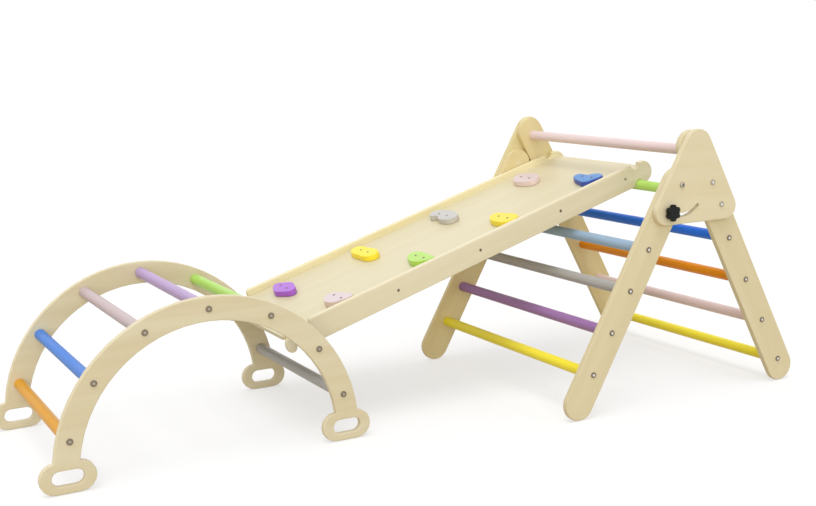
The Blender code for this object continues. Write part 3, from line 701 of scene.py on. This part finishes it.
def ramp_axes():
    """The ramp's own directions, up its length and out of its panel, from the panel's edges."""
    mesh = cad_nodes["ramp_panel"].data
    edges = [
        mesh.vertices[edge.vertices[1]].co - mesh.vertices[edge.vertices[0]].co for edge in mesh.edges
    ]
    lengthwise = [edge for edge in edges if abs(edge.y) < abs(edge.x) * LENGTHWISE_WITHIN]
    along = max(lengthwise, key=lambda edge: edge.length).normalized()
    if along.x < 0.0:
        along = -along
    return along, Vector((-along.z, 0.0, along.x))


def reach_along(node, direction):
    values = [vertex.co.dot(direction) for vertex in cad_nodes[node].data.vertices]
    return min(values), max(values)


def add_rail_screws(screw):
    """A row of screws along the middle of each rail's outer face."""
    along, above = ramp_axes()
    for side_name, side in SIDES:
        rail = "ramp_rail_" + side_name
        top_end = reach_along(rail, along)[1]
        level = sum(reach_along(rail, above)) / 2.0
        for index, distance in enumerate(RAIL_SCREWS_FROM_TOP):
            spot = along * (top_end - distance) + above * level
            place = (spot.x, outer_y(rail, side), spot.z)
            name = "%s_screw_%d" % (rail, index + 1)
            stand_on_face(name, screw, place, (0.0, side, 0.0), "ramp")


def add_hold_screws(screw):
    """Two screws on the top of each hold."""
    along, above = ramp_axes()
    for node in sorted(HOLD_PAINTS_AND_SIDE_SHADING):
        top = reach_along(node, above)[1]
        centre = sum((vertex.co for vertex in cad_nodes[node].data.vertices), Vector())
        centre /= len(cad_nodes[node].data.vertices)
        spot = along * centre.dot(along) + above * top
        for side_name, side in SIDES:
            place = (spot.x, centre.y + side * HOLD_SCREW_FROM_MIDDLE, spot.z)
            stand_on_face("%s_screw_%s" % (node, side_name), screw, place, above, "ramp")


def board_materials():
    """One material for each kind of board, with the grain along that board.

    A board takes the first key that its name starts with, so the longer keys come first."""
    lean_b = (middle("rung_b_6") - middle("rung_b_1")).normalized()
    lean_a = (middle("rung_a_4") - middle("rung_a_1")).normalized()
    along = ramp_axes()[0]
    slope = math.atan2(along.z, along.x)
    turn_b = -math.atan2(lean_b.x, lean_b.z)
    turn_a = -math.atan2(lean_a.x, lean_a.z)
    return {
        # The far legs, plates and rail take the warmer copies: painted warm bounce light in their
        # shade
        "leg_b_far": wood_material("wood_leg_b_far", "leg_painted_bounce", turn_b, "Z"),
        "leg_b": wood_material("wood_leg_b", "leg", turn_b, "Z"),
        "leg_a_far": wood_material("wood_leg_a_far", "leg_painted_bounce", turn_a, "Z"),
        "leg_a": wood_material("wood_leg_a", "leg", turn_a, "Z"),
        "apex_plate_far": wood_material("wood_plate_far", "plate_painted_bounce", 0.0, "X"),
        "apex_plate": wood_material("wood_plate", "plate", 0.0, "X"),
        "arch_side": wood_material("wood_arch", "arch", 0.0, "X"),
        "ramp_rail_far": wood_material("wood_rail_far", "rail_painted_bounce", slope, "X"),
        "ramp_rail": wood_material("wood_rail", "rail", slope, "X"),
        "ramp_panel": wood_material("wood_panel", "panel", slope, "X", "Z"),
    }


def dress_nodes(bolt_steel, black_plastic):
    kinds = board_materials()
    kinds["pivot_bolt"] = bolt_steel
    kinds["star_knob"] = black_plastic
    paints = {}
    for name, colour in PAINTS.items():
        paints[name] = paint_material("paint_" + name, colour, RUNG_ROUGHNESS)
    above = ramp_axes()[1]
    for name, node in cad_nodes.items():
        if name in RUNG_PAINTS:
            dress(node, paints[RUNG_PAINTS[name]])
        elif name in HOLD_PAINTS_AND_SIDE_SHADING:
            # A hold's second colour is painted shade on its sides
            top, side = HOLD_PAINTS_AND_SIDE_SHADING[name]
            dress(node, paint_material("paint_" + name, top, HOLD_ROUGHNESS, side, above))
        else:
            dress(node, next(kinds[kind] for kind in kinds if name.startswith(kind)))


def add_fasteners(metals):
    """Every bolt head, screw and cover. Each head has a skin and another metal in its socket: a dark
    skin is painted shade round the rim, a bright socket is a painted highlight, and a dark socket is
    painted shade in the recess.
    """
    bolts = {}
    for name, skin, inside in (
        ("bolt_head", "rim_shade_steel", "steel"),
        ("arch_bolt_head", "rim_shade_steel", "plate_steel"),
        ("plate_bolt_head", "plate_steel", "steel"),
    ):
        bolts[name] = socket_head_mesh(
            name,
            (BOLT_RADIUS, BOLT_HEIGHT, BOLT_ROUND),
            BOLT_RIM_RADIUS,
            BOLT_SOCKET_HALF_FLATS,
            BOLT_SOCKET_DEPTH,
            metals[skin],
            metals[inside],
        )
    pivot_cap = socket_head_mesh(
        "pivot_cap",
        (PIVOT_CAP_RADIUS, PIVOT_CAP_HEIGHT, PIVOT_CAP_ROUND),
        BOLT_RIM_RADIUS,
        BOLT_SOCKET_HALF_FLATS,
        PIVOT_CAP_HEIGHT,
        metals["plate_steel"],
        metals["steel"],
    )
    screws = {}
    for name, radius, inside in (
        ("rail_screw", RAIL_SCREW_RADIUS, "steel"),
        ("hold_screw", HOLD_SCREW_RADIUS, "socket_shade_metal"),
    ):
        screws[name] = socket_head_mesh(
            name,
            (radius, SCREW_HEIGHT, SCREW_ROUND),
            radius * SCREW_RIM_SHARE,
            radius * SCREW_SOCKET_SHARE,
            SCREW_HEIGHT,
            metals["rim_shade_steel"],
            metals[inside],
        )
    pale = plastic_material("cover_plastic", WOODS["leg"][0])
    cover = button_mesh("bolt_cover", COVER_RADIUS, COVER_HEIGHT, COVER_ROUND, pale)
    add_rung_bolts(bolts["bolt_head"], bolts["arch_bolt_head"])
    add_plate_bolts(bolts["plate_bolt_head"])
    add_pivot_details(pivot_cap, cover)
    add_rail_screws(screws["rail_screw"])
    add_hold_screws(screws["hold_screw"])


def add_floor():
    mesh = bpy.data.meshes.new("studio_floor")
    half = FLOOR_SIZE / 2.0
    corners = [(-half, -half, 0.0), (half, -half, 0.0), (half, half, 0.0), (-half, half, 0.0)]
    mesh.from_pydata(corners, [], [(0, 1, 2, 3)])
    mesh.materials.append(floor_material())
    floor = bpy.data.objects.new("studio_floor", mesh)
    floor.location = (0.0, 0.0, -FLOOR_DROP)
    bpy.context.scene.collection.objects.link(floor)
    floor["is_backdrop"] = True


def add_soft_light(name, travel, strength, angle):
    """A broad light from far away that travels in the given direction."""
    data = bpy.data.lights.new(name, "SUN")
    data.energy = strength
    data.angle = angle
    lamp = bpy.data.objects.new(name, data)
    lamp.rotation_mode = "QUATERNION"
    lamp.rotation_quaternion = travel.to_track_quat("-Z", "Y")
    bpy.context.scene.collection.objects.link(lamp)


def add_world():
    """Soft light from all round, and plain white where it is looked at."""
    world = bpy.data.worlds.new("studio")
    bpy.context.scene.world = world
    world.use_nodes = True
    tree = world.node_tree
    lit = tree.nodes["Background"]
    set_inputs(lit, Color=WHITE, Strength=WORLD_STRENGTH)
    seen = add(tree, "ShaderNodeBackground", Color=WHITE, Strength=1.0)
    mix = tree.nodes.new("ShaderNodeMixShader")
    tree.links.new(seen_directly(tree), mix.inputs[0])
    tree.links.new(lit.outputs[0], mix.inputs[1])
    tree.links.new(seen.outputs[0], mix.inputs[2])
    tree.links.new(mix.outputs[0], tree.nodes["World Output"].inputs["Surface"])


def add_camera():
    data = bpy.data.cameras.new("camera")
    data.sensor_width = SENSOR_WIDTH
    data.lens = CAMERA_LENS
    data.shift_x = CAMERA_SHIFT_X
    data.shift_y = CAMERA_SHIFT_Y
    data.clip_start = CLIP_START
    data.clip_end = CLIP_END
    camera = bpy.data.objects.new("camera", data)
    flat = math.cos(CAMERA_PITCH)
    forward = Vector(
        (math.sin(CAMERA_YAW) * flat, math.cos(CAMERA_YAW) * flat, math.sin(CAMERA_PITCH))
    )
    level = Vector((math.cos(CAMERA_YAW), -math.sin(CAMERA_YAW), 0.0))
    upright = level.cross(forward)
    right = level * math.cos(CAMERA_ROLL) + upright * math.sin(CAMERA_ROLL)
    up = upright * math.cos(CAMERA_ROLL) - level * math.sin(CAMERA_ROLL)
    turn = Matrix((right, up, -forward)).transposed().to_4x4()
    camera.matrix_world = Matrix.Translation(CAMERA_PLACE) @ turn
    bpy.context.scene.collection.objects.link(camera)
    bpy.context.scene.camera = camera


def build_scene():
    metals = {name: metal_material(name) for name in METALS}
    add_camera()
    dress_nodes(metals["plate_steel"], plastic_material("black_plastic", BLACK))
    add_fasteners(metals)
    add_floor()
    for name, (travel, strength, angle) in LAMPS.items():
        add_soft_light(name, travel, strength, angle)
    add_world()
    bpy.context.scene.view_settings.view_transform = "Standard"


for started_with in list(bpy.data.objects):
    bpy.data.objects.remove(started_with, do_unlink=True)
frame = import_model()
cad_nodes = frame["nodes"]
measured = {}
write_size("cad", measured)
build_scene()
write_size("visual", measured)
